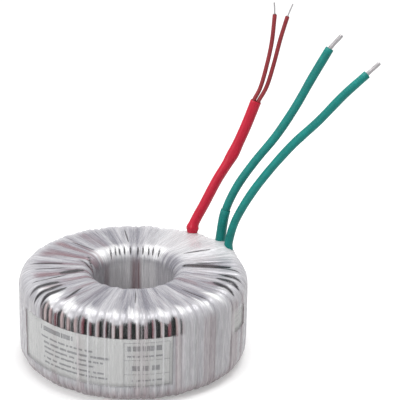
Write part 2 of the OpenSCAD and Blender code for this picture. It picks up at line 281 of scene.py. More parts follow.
def sleeve_oval(along, turn):
    """Oval radius, wider above the bulge and turned at it, with a cuffed foot and a few dents."""
    swell = np.exp(-((along - BULGE) / 4) ** 2)
    flare = np.exp(-((along - 3.6) / 1.5) ** 2) * (1 + 0.2 * np.cos(5 * turn))
    dents = 0.03 * np.cos(3 * turn + along / 2.3) * swell
    wider = soft_step(BULGE - 8, BULGE + 4, along)
    oval = (0.05 + 0.06 * wider + 0.05 * swell) * np.cos(2 * turn - 0.7 * swell)
    return PRIMARY_SLEEVE_D / 2 * (0.935 + oval + dents + 0.07 * swell + 0.24 * flare)


primary_sleeve = sleeve_piece("primary_sleeve_formed", primary_path, sleeve_oval,
                              lambda along, turn: sleeve_oval(along, turn) - 0.3, 40)


def thin_lead_path(free, shift):
    """The lead's own centreline: up the sleeve beside its neighbour, then free to its end."""
    places = np.concatenate([primary_shared, (np.array(free) + primary_root) * MM])
    return smooth_route(places + shift * side_of(headings(places)))


def thin_radius(along, turn):
    """A round lead with a faint waver along it."""
    return PRIMARY_LEAD_D / 2 * (1 + 0.012 * np.sin(along / 2.7))


shifts = (PRIMARY_SHIFT, -PRIMARY_SHIFT)
thin_paths = [thin_lead_path(free, shift) for free, shift in zip(PRIMARY_FREE, shifts)]
thin_leads = [rod_piece(f"primary_lead_{i + 1}_formed", thin_paths[i], thin_radius) for i in (0, 1)]
print("thin leads, mm:", [round(length_of(path) / MM, 1) for path in thin_paths])

# %% [markdown]
# The stripped ends are single tinned wires. They bend a little, as a wire does after a tester's
# clip, and the solder on them is slightly lumpy.

# %% Stripped ends
def stripped_path(path, tip, shift):
    """From just inside the insulation to the tip: along the lead's heading, and then bending."""
    end, heading = path[-1], headings(path)[-1]
    tip = (np.array(tip) + primary_root) * MM + shift * side_of(heading[None])[0]
    half_way = end + 0.45 * (tip - end) + 0.5 * MM * heading
    places = np.stack([end - 0.3 * MM * heading, half_way, tip])
    return smooth_route(places, 8)


def stripped_radius(along, turn):
    """A thin round wire under uneven solder."""
    return PRIMARY_WIRE_D / 2 * (0.97 + 0.05 * np.sin(along / 0.5))


tip_paths = [stripped_path(*parts) for parts in zip(thin_paths, PRIMARY_TIPS, shifts)]
thin_tips = [rod_piece(f"primary_wire_{i + 1}_formed", tip_paths[i], stripped_radius, 14)
             for i in (0, 1)]
print("stripped ends, mm:", [round(length_of(path) / MM, 1) for path in tip_paths])

# %% [markdown]
# ## The green sleeves and their thick conductors
# Each secondary lead is the winding's own bundle of wires, twisted, pushed through a sleeve and
# dipped in solder at the end. The lobes of the twist still show in the solder.

# %% Secondary leads
secondary_places = [(np.array(route) + root) * MM
                    for route, root in zip(SECONDARY_ROUTES, secondary_roots)]
secondary_paths = [smooth_route(places) for places in secondary_places]


def sleeve_round(diameter, phase):
    """Radius of a soft round sleeve: a slow waver along it and a faint turning oval."""
    def radius(along, turn):
        waver = 0.014 * np.sin(along / 5.2 + phase) + 0.008 * np.sin(along / 1.9 + 2 * phase)
        return diameter / 2 * (1 + waver + 0.02 * np.cos(2 * turn + along / 20 + phase))
    return radius


def plain_bore(diameter):
    """A round bore of one radius all along."""
    return lambda along, turn: diameter / 2 + 0 * along


green_sleeves = [sleeve_piece(f"secondary_sleeve_{i + 1}_formed", secondary_paths[i],
                              sleeve_round(SECONDARY_SLEEVE_D, 1.0 + i),
                              plain_bore(SECONDARY_SLEEVE_D - 1.4)) for i in (0, 1)]
short_path = secondary_paths[0][:6 * (OUTER_SLEEVE_PLACES - 1) + 1]
short_sleeve = sleeve_piece("secondary_outer_sleeve_formed", short_path,
                            sleeve_round(OUTER_SLEEVE_D - 0.1, 0.4),
                            plain_bore(SECONDARY_SLEEVE_D + 2.6 * SLEEVE_GAP))


def twisted_bundle(along, turn):
    """Seven twisted wires under solder: six lobes that wind along the lead."""
    return SECONDARY_WIRE_D / 2 * (1.0 + 0.04 * np.cos(6 * turn - along / 0.8))


def thick_wire(i):
    """A conductor that starts inside its sleeve and runs on past the sleeve's end to its tip."""
    tip, end = (np.array(SECONDARY_TIPS[i]) + secondary_roots[i]) * MM, secondary_paths[i][-1]
    places = np.stack([end - 6 * MM * headings(secondary_paths[i])[-1], end, tip])
    return rod_piece(f"secondary_wire_{i + 1}_formed", smooth_route(places, 24), twisted_bundle, 30)


thick_tips = [thick_wire(i) for i in (0, 1)]
print("secondary leads, mm:", [round(length_of(path) / MM, 1) for path in secondary_paths])

# %% [markdown]
# All four leads keep their bends. Each formed piece rides with the transformer and stands in for a
# plain solid of the frame, which is hidden.

def carry(piece, stands_for):
    """The piece rides with the transformer and replaces a plain solid, which is hidden."""
    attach(piece, "root")
    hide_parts(stands_for)


carry(primary_sleeve, "primary_sleeve")
carry(short_sleeve, "secondary_outer_sleeve")
for i in (0, 1):
    carry(thin_leads[i], f"primary_lead_{i + 1}")
    carry(thin_tips[i], f"primary_wire_{i + 1}")
    carry(green_sleeves[i], f"secondary_sleeve_{i + 1}")
    carry(thick_tips[i], f"secondary_wire_{i + 1}")

# %% [markdown]
# ## The ring's section
# Wires and film both follow a rounded box round the ring's section. It is worked out once as a
# closed line: half of it climbs the outer wall, turns over the top and goes down the hole to the
# middle, and the other half is its mirror image below.

# %% Section
def ring_section(outer_r, hole_r, low, high, outer_corner, inner_corner):
    """Arc length, radius and height along the closed rounded box, from the outer wall's middle."""
    quarter = np.linspace(0, np.pi / 2, 40)
    r = np.concatenate([[outer_r], outer_r - outer_corner * (1 - np.cos(quarter)),
                        hole_r + inner_corner * (1 - np.sin(quarter)), [hole_r]])
    z = np.concatenate([[(low + high) / 2], high - outer_corner * (1 - np.sin(quarter)),
                        high - inner_corner * (1 - np.cos(quarter)), [(low + high) / 2]])
    r, z = np.concatenate([r, r[-2::-1]]), np.concatenate([z, (low + high) - z[-2::-1]])
    return np.concatenate([[0], np.cumsum(np.hypot(np.diff(r), np.diff(z)))]), r, z


def along_section(section, s):
    """Radius, height and the two parts of the outward direction at arc length s."""
    length, r, z = section
    step = 0.2 * MM
    back, on = (s - step) % length[-1], (s + step) % length[-1]
    dr = np.interp(on, length, r) - np.interp(back, length, r)
    dz = np.interp(on, length, z) - np.interp(back, length, z)
    size = np.hypot(dr, dz)
    return np.interp(s, length, r), np.interp(s, length, z), dz / size, -dr / size


# %% [markdown]
# ## The winding
# Ninety round wires wrap the ring. Out on the wall they stand apart and the tape shows between
# them, but in the hole there is less room, so every other wire lies one layer deeper there. All the
# loops are one array: wire, place along the loop, and angle round the wire.

# %% Secondary winding
WINDING_SEED, TONE_SEED, WIRE_WANDER = 21, 5, 0.04
FILM_IN_HOLE, COIL_INNER_CORNER = 2.1 * MM, 5.7 * MM


def winding_points(along=72, round_wire=8):
    """Loop centreline + radius * (cos(turn) * outward + sin(turn) * along the ring)."""
    draw = np.random.default_rng(WINDING_SEED)
    wander = draw.normal(0, WIRE_WANDER, (WIRES, 5)) * WIRE_STEP
    turn = np.linspace(0, 2 * np.pi, round_wire, endpoint=False)
    points = np.empty((WIRES, along, round_wire, 3))
    for deeper in (0, 1):
        hole = BORE_R + FILM_IN_HOLE + WIRE_R * (1 + 2 * deeper)
        section = ring_section(COIL_R - WIRE_R, hole, COIL_LOW + WIRE_R, COIL_TOP - WIRE_R,
                               COIL_CORNER * MM - WIRE_R, COIL_INNER_CORNER - WIRE_R)
        s = np.linspace(0, section[0][-1], along, endpoint=False)
        r, z, out_r, out_z = along_section(section, s)
        knots = np.linspace(0, section[0][-1], 6)
        picked = np.arange(deeper, WIRES, 2)
        drift = np.array([np.interp(s, knots, np.append(w, w[0])) for w in wander[picked]])
        angle = picked[:, None] * WIRE_STEP + drift
        reach = r[:, None] + WIRE_R * np.cos(turn) * out_r[:, None]
        height = z[:, None] + WIRE_R * np.cos(turn) * out_z[:, None]
        beside = WIRE_R * np.sin(turn)
        c, d = np.cos(angle)[..., None], np.sin(angle)[..., None]
        level = np.broadcast_to(height, (len(picked), along, round_wire))
        points[picked] = np.stack([reach * c - beside * d, reach * d + beside * c, level], axis=-1)
    return points


coil = winding_points()
one_loop = grid_faces(coil.shape[1], coil.shape[2], True, True)
first_points = np.arange(WIRES)[:, None, None] * coil.shape[1] * coil.shape[2]
loops = (one_loop[None] + first_points).reshape(-1, 4)
wire_number = np.broadcast_to(np.arange(WIRES)[:, None, None], coil.shape[:3])
coil_uv = np.stack(np.broadcast_arrays(wire_number, np.arange(coil.shape[1])[:, None]), axis=-1)
# Each wire's tone, drawn at random: maroon enamel, or pale tones that are partly painted highlight
tone_draw = np.random.default_rng(TONE_SEED).random(WIRES)
tone = np.where(tone_draw < 0.55, 0.3 * tone_draw, 0.45 + 0.55 * tone_draw)
secondary_coil = new_piece("secondary_coil", coil, loops, coil_uv.astype(float),
                           {"tone": np.broadcast_to(tone[:, None, None], coil.shape[:3])})
carry(secondary_coil, "secondary_winding")
print("winding:", WIRES, "loops,", 2 * len(loops), "triangles")

# %% [markdown]
# ## The film wrap
# Clear polyester tape is wound over the wires under tension. It rides over each wire and sinks
# between them, so it is pleated like a fan, and each turn of the tape overlaps the last at a slant,
# which cuts the fan into flat panels. The height of the film is worked out over the section's arc
# length and the angle round the ring: pleats, slanted panels, and a swelling where the leads come
# out. What shows through is painted as well, because the film is cloudy where its layers stack up
# and clear where they don't.

# %% Film shape
FILM_ROWS, FILM_COLUMNS = 110, 900
PLEAT_LEAN, PLEAT_SEED, SWELL_ANGLE = 0.62, 7, sum(SECONDARY_ANGLES) / 2
film_section = ring_section(OUTER_R, BORE_R, 0, RING_H, OUTER_CORNER, INNER_CORNER)
FILM_LENGTH = film_section[0][-1] / MM
film_s = np.linspace(0, FILM_LENGTH, FILM_ROWS, endpoint=False)[:, None]
film_t = np.where(film_s > FILM_LENGTH / 2, film_s - FILM_LENGTH, film_s)
film_angle = np.linspace(-np.pi, np.pi, FILM_COLUMNS, endpoint=False)[None, :]
degrees_round = np.degrees(film_angle)
# Where the hole's straight wall starts, in millimetres of arc up from the outer wall's middle
HOLE_WALL = 59.3


def folds(draw, count, u):
    """A closed zigzag round the ring: random fold places with random heights between -1 and 1."""
    places = (np.arange(count) + draw.uniform(-0.35, 0.35, count)) / count
    heights = draw.uniform(0.3, 1, count) * np.where(np.arange(count) % 2, 1, -1)
    places = np.append(places, places[0] + 1)
    heights = np.append(heights, heights[0])
    return np.interp((u - places[0]) % 1 + places[0], places, heights)


def pleats(draw, u):
    """Zigzag of the wires: a crest over each wire and a valley beyond it, each a little varied."""
    crests = np.arange(WIRES) + draw.uniform(-0.12, 0.12, WIRES)
    valleys = np.arange(WIRES) + PLEAT_LEAN + draw.uniform(-0.14, 0.14, WIRES)
    deep = draw.uniform(0.45, 0.8, WIRES) + np.where(np.arange(WIRES) % 3 == 0, 0.2, 0)
    places = np.stack([crests, valleys], axis=1).ravel()
    depths = np.stack([draw.uniform(0, 0.15, WIRES), deep], axis=1).ravel()
    places, depths = np.append(places, places[0] + WIRES), np.append(depths, depths[0])
    return np.interp((u - places[0]) % WIRES + places[0], places, depths)


def bump(mid, right, left):
    """A bell round one angle, narrower on its right side than on its left."""
    away = degrees_round - mid
    return np.exp(-(away / np.where(away < 0, right, left)) ** 2)


film_draw = np.random.default_rng(PLEAT_SEED)
turns_round = film_angle / (2 * np.pi)
t_above = np.abs(film_t)
# Depth in millimetres of the wires' pleats, at places up the section
pleat_height = np.interp(t_above, [0, 12, 18, 24, 30, 46, 56, 75],
                         [0.5, 0.55, 0.85, 0.8, 0.35, 0.2, 0.15, 0.12])
WANDER, WANDER_WAVE, WANDER_TURNS = 0.12, 9, 5
wander_up = WANDER * np.sin(film_t / WANDER_WAVE + WANDER_TURNS * turns_round * 2 * np.pi)
pleat = pleats(film_draw, (turns_round * WIRES + wander_up) % WIRES)
# Panels: folds round the ring, slant in turns for each millimetre up, and height
PANELS = [(42, 0.0004, 0.45), (58, -0.0008, 0.3), (76, 0.0012, 0.2)]
panel = sum(size * folds(film_draw, count, turns_round + slant * film_t)
            for count, slant, size in PANELS)
panel_height = np.interp(t_above, [0, 20, 27, 48, 60, 75], [0.35, 0.7, 1, 1, 0.6, 0.4])
# The film swells over the leads' roots, and it is smoother there
BIG_SWELL, SMALL_SWELL, CALMING = 2.6, 1.0, 0.6
near_leads = np.maximum(bump(SWELL_ANGLE, 10, 16), 0.7 * bump(PRIMARY_ANGLE, 7, 9))
swelling = BIG_SWELL * bump(SWELL_ANGLE, 7, 12) + SMALL_SWELL * bump(PRIMARY_ANGLE, 7, 7)
swell_share = np.interp(film_t, [13, 16, 20, 24, 28, 48, 56], [0, 0.25, 0.75, 1, 0.85, 0.2, 0])
calm = 1 - CALMING * near_leads * (film_t > 0)
# The film sinks no deeper than the room over the coil, and its crests are a little lower too
ROOM_OVER_COIL, PANEL_DEPTH, INSET = 1.1, 0.6, 0.05
sunk = (pleat * pleat_height + np.clip(panel + 0.5, 0, 1.2) * panel_height * PANEL_DEPTH) * calm
sunk = np.minimum(sunk, ROOM_OVER_COIL)
film_height = swelling * swell_share - sunk - INSET
r, z, out_r, out_z = along_section(film_section, film_s * MM)
film_r = r + film_height * MM * out_r
film_z = np.maximum(z + film_height * MM * out_z, 0)
film_points = np.stack([film_r * np.cos(film_angle), film_r * np.sin(film_angle), film_z], axis=-1)
print(f"film sinks up to {sunk.max():.2f} mm and swells up to {film_height.max():.2f} mm")

# %% [markdown]
# How cloudy the film is: most on the top, where every turn of tape overlaps, and least over the
# label and along the front's upper edge, where dark tape shows between the wires. The narrow dark
# slits, where two panels of film don't meet, are opaque film painted near black as painted shade.
# Each panel has a painted grey, a painted reflection of what its flat film mirrors, and the
# tightest folds at the corner get painted white highlights.

# %% Film regions
LABEL_MID, LABEL_HALF = -114.5, 43.6
# A patch of film: from and to in millimetres of arc up, then from and to in degrees round
LABEL_PATCH = (-12.6, 11.2), (LABEL_MID - LABEL_HALF + 2, LABEL_MID + LABEL_HALF)
TEST_PATCH = (0.8, 11.0), (-31.2, -17.4)
RIM_PATCH, BACK_PATCH = ((48, 56), (50, 142)), ((20, 50), (12, 75))
# The dark edge: where it starts and ends round the ring, its foot, its top and how that varies
EDGE_ROUND, EDGE_FOOT, EDGE_TOP, EDGE_VARIES, EDGE_FOLDS = (-141, -66), (11, 12), 19.6, 2.6, 61


def patch(place, soft_up, soft_round):
    """One inside a patch and zero outside, with edges this soft up the section and round."""
    up, around = place
    return band(*up, soft_up, film_t) * band(*around, soft_round, degrees_round)


edge_top = EDGE_TOP + EDGE_VARIES * folds(film_draw, EDGE_FOLDS, turns_round + 0.0012 * film_t)
front_edge = (soft_step(*EDGE_FOOT, film_t) * (1 - soft_step(-1, 1, film_t - edge_top))
              * band(*EDGE_ROUND, 2.5, degrees_round))
over_label, over_test = patch(LABEL_PATCH, 0.4, 0.4), patch(TEST_PATCH, 0.4, 0.4)
on_wall = 1 - soft_step(14, 20, t_above)
under = soft_step(14, 20, -film_t)
in_hole = soft_step(HOLE_WALL - 4, HOLE_WALL + 2, t_above)
on_top = soft_step(24, 31, t_above) * (1 - in_hole)
valley = np.clip(pleat * 1.5 - 0.35, 0, 1)
print("share of film at the dark edge:", round(float(front_edge.mean()), 3))

# %% [markdown]
# Cloudiness is how much haze hides the wires. It is nearly full on the top, less on the wall, and
# least at the dark edge and over the labels.

# %% Film cloudiness
WIRE_SHOWS = 0.17
wire_away = np.abs((turns_round * WIRES + 0.5) % 1 - 0.5)
over_wire = np.exp(-(wire_away / WIRE_SHOWS) ** 2)
per_wire = film_draw.random(WIRES)[np.round(turns_round * WIRES).astype(int) % WIRES]
streaks = film_draw.random(FILM_COLUMNS)[None, :] * np.ones_like(film_t)
streaks = (streaks + np.roll(streaks, 1, axis=1) + np.roll(streaks, 2, axis=1)) / 3
# Full cloudiness, and how much less there is on the wall, below, in valleys and in streaks
FULL, WALL_LESS, BELOW_LESS, VALLEY_LESS, STREAK_LESS = 0.9, 0.08, 0.25, 0.16, 0.12
cloudy = (FULL - WALL_LESS * on_wall - BELOW_LESS * under - VALLEY_LESS * valley * on_wall
          - STREAK_LESS * streaks)
# At the dark edge the film is nearly clear, but cloudier over some wires, partly painted highlight for
# film on their crests, and along some streaks
edge_haze_and_highlight = 0.04 + over_wire * (0.08 + 0.4 * (per_wire > 0.5)) + 0.3 * (streaks > 0.68)
cloudy = cloudy * (1 - front_edge) + front_edge * edge_haze_and_highlight
clear_view = over_label * (0.16 + 0.5 * soft_step(0.55, 0.8, streaks) * (per_wire > 0.35))
cloudy = cloudy * (1 - over_label) + clear_view + 0.1 * over_label
cloudy = cloudy * (1 - 0.75 * over_test)
print("clear share of the film:", round(float((cloudy < 0.4).mean()), 3))

# %% [markdown]
# A slit is a thin leaf shape between two places on the top, widest half way along. A fan of wide
# slits lies at each side, evenly spaced. Long ones lie nearer the hole, narrow ones are scattered
# between, and a row of short ones stands on the hole's rim.

# %% Film slits
# Angle and radius at one end, angle and radius at the other, and width: degrees and millimetres
SLITS = [
    (-169, 36, -172, 23, 2.0), (4, 23, -1, 47, 2.4), (150, 25, 168, 20, 1.0),
    (163, 27, 172, 20, 0.6), (-160, 50, -163, 33, 0.6), (8, 30, 6, 44, 0.5),
    (-2, 38, -6, 51, 0.7), (-132, 47, -136, 33, 0.6), (-48, 33, -46, 48, 0.5),
    (-88, 28, -89, 40, 0.3), (28, 27, 24, 41, 0.5), (135, 27, 137, 41, 0.4),
    (95, 28, 96, 44, 0.4), (-176, 47, -178, 30, 0.7), (175, 50, 173, 34, 0.7)]
# A fan: its first angle, the step to the next, the radius at both ends, lean and width
FANS, FAN_SLITS = [(-153, 5.5, 54, 38, -2, 1.6), (-11, -7, 41, 53, -4, 1.7)], 3
SLITS += [(first + step * i, r_a, first + step * i + lean, r_b, width)
          for first, step, r_a, r_b, lean, width in FANS for i in range(FAN_SLITS)]
RIM_SLITS = [(118, 4), (112, 3), (107, 2), (101, 1), (94, 0), (85, -1), (79, -2), (72, -3),
             (66, -3), (58, -4)]
RIM_SLIT_OUT, RIM_SLIT_IN, RIM_SLIT_WIDTH = 24.2, 20.2, 0.5
SLITS += [(angle, RIM_SLIT_OUT, angle + lean, RIM_SLIT_IN, RIM_SLIT_WIDTH)
          for angle, lean in RIM_SLITS]
SLIT_SPREAD, SLIT_EDGE, SLIT_DENT = 0.75, 1.7, 0.1
slit = np.zeros_like(film_r)
for angle_a, r_a, angle_b, r_b, slit_width in SLITS:
    share = (film_r / MM - r_a) / (r_b - r_a)
    middle = angle_a + (angle_b - angle_a) * share
    away = np.radians((degrees_round - middle + 180) % 360 - 180)
    leaf = np.sqrt(np.clip(1 - (2 * share - 1) ** 2, 0, 1))
    half = SLIT_SPREAD * slit_width * leaf + 0.01
    gap = np.clip(SLIT_EDGE - np.abs(away) * film_r / MM / half, 0, 1)
    slit = np.maximum(slit, gap * (share > 0) * (share < 1) * (film_t > 14))
# In a slit the film is made opaque, so that it can be painted near black as painted shade
cloudy = np.maximum(np.clip(cloudy, 0.04, 0.96), slit * 0.9)
film_points[..., 2] -= SLIT_DENT * MM * slit * on_top
print("slits:", len(SLITS))

# %% [markdown]
# Tints lie over the haze: painted highlights, a painted reflection grey for each panel with painted
# shade in the valleys, and rose from the wires below.

# %% Film tints
corner_zigzag = folds(film_draw, 58, turns_round + 0.0009 * film_t)
# Pointed painted highlights: widest at the corner's middle, and gone at a reach up and down from it
CORNER_MIDDLE, CORNER_REACH = 25, 6
corner_highlight = np.clip(1.5 * corner_zigzag + 0.35 - np.abs(film_t - CORNER_MIDDLE) / CORNER_REACH, 0, 1)
corner_highlight = (corner_highlight * band(-150, -20, 8, degrees_round)
                * (0.35 + 0.65 * soft_step(0.35, 0.6, streaks)))
# Painted highlights along the hole's rim, weaker in one stretch, and a painted highlight on the top's
# back
rim_break = 1 - 0.75 * band(77, 98, 3, degrees_round)
rim_highlight = patch(RIM_PATCH, 2.5, 5) * rim_break * (0.55 + 0.45 * soft_step(0.3, 0.6, streaks))
back_highlight = 0.5 * patch(BACK_PATCH, 4, 10)
# Each panel's painted reflection grey: folds round the ring, slant, and share of the whole
PANEL_REFLECTION_GREYS = [(42, 0.0004, 0.5), (76, -0.0006, 0.35), (17, 0, 0.35)]
panel_reflection_grey = sum(share * folds(film_draw, count, turns_round + slant * film_t)
                 for count, slant, share in PANEL_REFLECTION_GREYS)
# Painted shade: panels darker as a painted reflection, darker valleys and pleats, and some darker
# streaks on the top
dusk = np.clip(0.5 + 0.75 * panel_reflection_grey, 0, 1) * (0.2 + 0.8 * on_top)
dusk = dusk + 0.3 * valley * (1 - on_wall) + 0.4 * on_wall * np.clip(pleat, 0, 1) * per_wire
dusk = np.clip(dusk + 0.4 * soft_step(0.45, 0.2, streaks) * on_top, 0, 1)
dusk = dusk * (1 - corner_highlight) * (1 - rim_highlight)
# Two dark stripes of wire show in the hole, and the rest of its far wall gets painted light
hole_stripe = band(79, 94, 3, degrees_round) + band(128, 137, 2, degrees_round) * 0.6
hole_light = in_hole * band(56, 128, 6, degrees_round) * (1 - np.clip(hole_stripe, 0, 1))
# All the painted highlights: the corner, the hole's far wall and rim, the back, and bright streaks on
# the wall
whiteness = (corner_highlight + 0.75 * hole_light * (0.3 + streaks) + rim_highlight * (0.6 + 0.5 * streaks)
             + back_highlight + 0.3 * on_wall * (streaks > 0.62))
whiteness = np.clip(whiteness, 0, 1)
left_rose = np.maximum(band(-180, -128, 12, degrees_round), band(122, 181, 14, degrees_round))
rosy = (left_rose * on_top * soft_step(-0.1, 0.5, panel_reflection_grey) + 0.7 * under
        + 0.8 * in_hole * hole_stripe + 0.45 * on_wall * (per_wire > 0.7)
        + 0.5 * band(40, 62, 6, degrees_round) * swell_share
        + 0.4 * band(-40, 5, 8, degrees_round) * on_top * (panel_reflection_grey > 0.25))
rosy = np.clip(rosy, 0, 1) * (0.35 + 0.65 * streaks)

film_uv = np.stack(np.broadcast_arrays(turns_round * WIRES, film_t), axis=-1)
film_faces = grid_faces(FILM_ROWS, FILM_COLUMNS, True, True)
film_paint = {"cloudy": cloudy, "whiteness": whiteness, "rosy": rosy, "dusk": dusk, "slit": slit}
film_skin = new_piece("film_skin", film_points, film_faces, film_uv, film_paint)
carry(film_skin, "film_wrap")
print("film:", 2 * len(film_faces), "triangles")

# %% [markdown]
# ## The labels
# Two paper labels lie on the wires under the film. A label is a patch of the wall: its grid runs
# round the ring and up, and it ripples slightly over the wires. Solidify gives it a paper's
# thickness. Its UV map is in millimetres, so the print can be laid out by length.

# %% Labels
LABEL_R, RIPPLE, PAPER, LABEL_ROWS, LABEL_COLUMNS = 53.62 * MM, 0.07 * MM, 0.08 * MM, 8, 240


def label_piece(name, node, mid_angle, width):
    """A patch at the label's radius + ripple * cos(wires under it), as wide and high as its solid."""
    low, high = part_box(node)
    radius = LABEL_R
    across = np.linspace(-width / 2, width / 2, LABEL_COLUMNS)[None, :] * MM
    up = np.linspace(low.z, high.z, LABEL_ROWS)[:, None]
    angle = math.radians(mid_angle) + across / radius
    reach = radius + RIPPLE * np.cos(angle * WIRES) + 0 * up
    x, y = reach * np.cos(angle), reach * np.sin(angle)
    points = np.stack(np.broadcast_arrays(x, y, up), axis=-1)
    uv = np.stack(np.broadcast_arrays(across / MM + width / 2, (up - low.z) / MM), axis=-1)
    faces = grid_faces(LABEL_ROWS, LABEL_COLUMNS, False, False)
    piece = new_piece(name, points, faces, uv, outward=-1)
    wall = piece.modifiers.new("paper", "SOLIDIFY")
    wall.thickness = PAPER
    carry(piece, node)
    return piece


RATING_WIDTH, TEST_WIDTH, TEST_MID = 82, 16, -23.5
rating_paper = label_piece("rating_paper", "rating_label", LABEL_MID, RATING_WIDTH)
test_paper = label_piece("test_paper", "test_label", TEST_MID, TEST_WIDTH)
print("labels:", rating_paper.name, test_paper.name)

# %% [markdown]
# ## Shader maths in plain Python
# A shader's numbers are sockets joined by Math nodes. The class below wraps a socket so that
# `1 - mask * 0.3` adds the nodes itself. Colours go through a Mix node, because a Math node would
# turn them grey.

# %% Shader kit
class Value:
    """A number that changes over a surface. Its operators add Math nodes."""

    def __init__(self, finish, socket):
        self.finish, self.socket = finish, socket

    def __add__(self, other):
        return self.finish.math("ADD", self, other)

    def __sub__(self, other):
        return self.finish.math("SUBTRACT", self, other)

    def __rsub__(self, other):
        return self.finish.math("SUBTRACT", other, self)

    def __mul__(self, other):
        return self.finish.math("MULTIPLY", self, other)

    def __gt__(self, other):
        return self.finish.math("GREATER_THAN", self, other)

    def __lt__(self, other):
        return self.finish.math("LESS_THAN", self, other)

    __radd__, __rmul__ = __add__, __mul__


class Finish:
    """A material under construction round one Principled shader."""

    def __init__(self, name, **constants):
        self.material = bpy.data.materials.new(name)
        self.material.use_nodes = True
        self.tree = self.material.node_tree
        self.shader = self.tree.nodes["Principled BSDF"]
        self.set(**constants)

    def set(self, **inputs):
        """Sets the shader's sockets: base_color=... is the socket Base Color."""
        self.fill(self.shader, {key.replace("_", " ").title(): v for key, v in inputs.items()})

    def fill(self, node, inputs):
        """Links a Value to a socket, and writes anything else into it."""
        for key, value in inputs.items():
            names = {socket.name.lower(): socket for socket in node.inputs if socket.enabled}
            socket = node.inputs[key] if isinstance(key, int) else names[key.lower()]
            if isinstance(value, Value):
                self.tree.links.new(value.socket, socket)
            else:
                needs_alpha = np.size(value) == 3 and socket.type == "RGBA"
                socket.default_value = (*value, 1) if needs_alpha else value

    def node(self, kind, settings=None, inputs=None, output=0):
        """Any other node: its type, its settings, a ramp's stops among them, and its inputs."""
        node = self.tree.nodes.new(kind)
        for key, value in (settings or {}).items():
            if key == "stops":
                while len(node.color_ramp.elements) < len(value):
                    node.color_ramp.elements.new(0.5)
                for element, (place, colour) in zip(node.color_ramp.elements, value):
                    element.position, element.color = place, (*colour, 1)
            else:
                setattr(node, key, value)
        self.fill(node, inputs or {})
        return Value(self, node.outputs[output])

    def math(self, operation, *operands):
        return self.node("ShaderNodeMath", {"operation": operation}, dict(enumerate(operands)))

    def sine(self, x):
        return self.math("SINE", x)

    def mix(self, share, a, b):
        """Colour a where share is 0 and colour b where it is 1."""
        return self.node("ShaderNodeMix", {"data_type": "RGBA"},
                         {"Factor": share, "A": a, "B": b}, output=2)

    def painted(self, name):
        """An attribute of the mesh's points."""
        return self.node("ShaderNodeAttribute", {"attribute_name": name}, output=2)

    def place(self, along="Object"):
        return self.node("ShaderNodeTexCoord", output={"Object": 3, "UV": 2}[along])

    def parts(self, vector):
        """The three numbers of a vector."""
        split = self.node("ShaderNodeSeparateXYZ", inputs={"Vector": vector}).socket.node
        return [Value(self, output) for output in split.outputs]

    def stretched(self, vector, scale):
        return self.node("ShaderNodeMapping", inputs={"Vector": vector, "Scale": scale})

    def noise(self, vector, scale, detail=2.0, roughness=0.5):
        return self.node("ShaderNodeTexNoise", inputs={
            "Vector": vector, "Scale": scale, "Detail": detail, "Roughness": roughness})

    def bump(self, height, distance, strength=1.0):
        """Feeds the shader's Normal from a height, where 1 stands for that distance."""
        self.set(normal=self.node("ShaderNodeBump", inputs={"Height": height, "Distance": distance,
                                                            "Strength": strength}))

    def on(self, *pieces):
        for piece in pieces:
            piece.data.materials.clear()
            piece.data.materials.append(self.material)


def shade(hexed):
    """A colour as it looks on a screen, such as 'cc2d4b', as the linear numbers that shaders use."""
    screen = np.array([int(hexed[i:i + 2], 16) for i in (0, 2, 4)]) / 255
    linear = np.where(screen < 0.04045, screen / 12.92, ((screen + 0.055) / 1.055) ** 2.4)
    return tuple(linear.tolist())


print("shader kit ready")

# %% [markdown]
# ## Metals and insulation inside
# These are seen only in glimpses through the film: the strip-wound steel core, its board rings, the
# fine primary wire and the dark tape between the windings.

# %% Inner finishes
core_finish = Finish("wound_steel", metallic=0.9, roughness=0.4)
x, y, z = core_finish.parts(core_finish.place())
strip = core_finish.sine(core_finish.math("SQRT", x * x + y * y) * (2 * math.pi / (0.6 * MM)))
core_finish.set(base_color=core_finish.mix(strip * 0.5 + 0.5, shade("6f7276"), shade("9a9da1")))
core_finish.bump(strip, 0.05 * MM)
core_finish.on(nodes["core"])

board_finish = Finish("pressboard", roughness=0.85)
fibre = board_finish.noise(board_finish.place(), 900)
board_finish.set(base_color=board_finish.mix(fibre, shade("8a7350"), shade("b59a70")))
board_finish.bump(fibre, 0.05 * MM)
board_finish.on(nodes["core_ring_top"], nodes["core_ring_bottom"])

copper_finish = Finish("fine_enamelled_wire", metallic=0.8, roughness=0.35)
x, y, z = copper_finish.parts(copper_finish.place())
fine = copper_finish.sine(copper_finish.math("ARCTAN2", y, x) * 300)
copper_finish.set(base_color=copper_finish.mix(fine * 0.5 + 0.5, shade("7a3b22"), shade("b5683e")))
copper_finish.bump(fine, 0.1 * MM)
copper_finish.on(nodes["primary_winding"])

tape_finish = Finish("dark_insulation_tape", roughness=0.6, specular_ior_level=0.25)
x, y, z = tape_finish.parts(tape_finish.place())
lap = tape_finish.sine(tape_finish.math("ARCTAN2", y, x) * 40 + z * 60)
grain = tape_finish.noise(tape_finish.place(), 260)
tape_tone = lap * 0.2 + grain * 0.7
tape_finish.set(base_color=tape_finish.mix(tape_tone, shade("151d1b"), shade("2e3a35")))
tape_finish.bump(lap, 0.1 * MM)
tape_finish.on(nodes["winding_tape"], nodes["core_tape"])

# %% [markdown]
# ## Enamelled wire
# The secondary's enamel is a clear rose lacquer over copper. The tone changes at random from wire
# to wire: maroon is the enamel itself, and pale pink is partly painted highlight for film on the
# crests.

# %% Wire finish
wire_finish = Finish("rose_enamel", metallic=0.2, coat_weight=0.15, coat_roughness=0.2)
